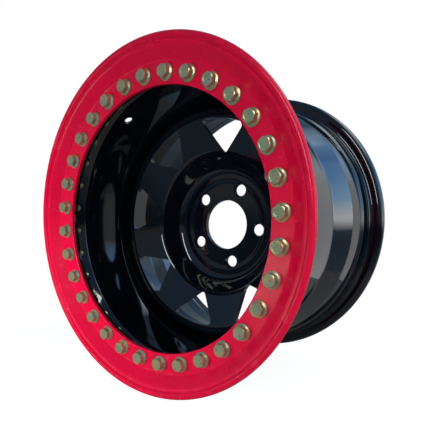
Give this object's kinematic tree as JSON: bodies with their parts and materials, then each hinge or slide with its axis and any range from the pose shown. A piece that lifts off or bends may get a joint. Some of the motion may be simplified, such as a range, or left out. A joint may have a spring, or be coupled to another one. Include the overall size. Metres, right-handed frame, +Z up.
{
  "type": "steel wheel",
  "caption": "Deep-dish steel road wheel with a pressed disc, triangular windows and a bolted outer clamp ring that locks the tyre's bead.",
  "frame": {"origin": "centre of the disc's mounting face, where the wheel meets its hub", "axes": "the wheel spins about +Y, which points along the axle toward the vehicle; -Y is the street side; +Z is up"},
  "size_m": [0.4302, 0.2793, 0.43],
  "materials": {
    "black_paint": "gloss",
    "red_paint": "gloss",
    "zinc_yellow": "satin"
  },
  "bodies": {
    "root": {"rim_barrel": "black_paint", "centre_disc": "black_paint", "disc_weld": "black_paint", "mounting_ring": "black_paint", "outer_ring_weld": "black_paint", "inner_ring_weld": "black_paint", "clamp_ring": "red_paint", "clamp_bolts": "zinc_yellow"}
  },
  "joints": []
}
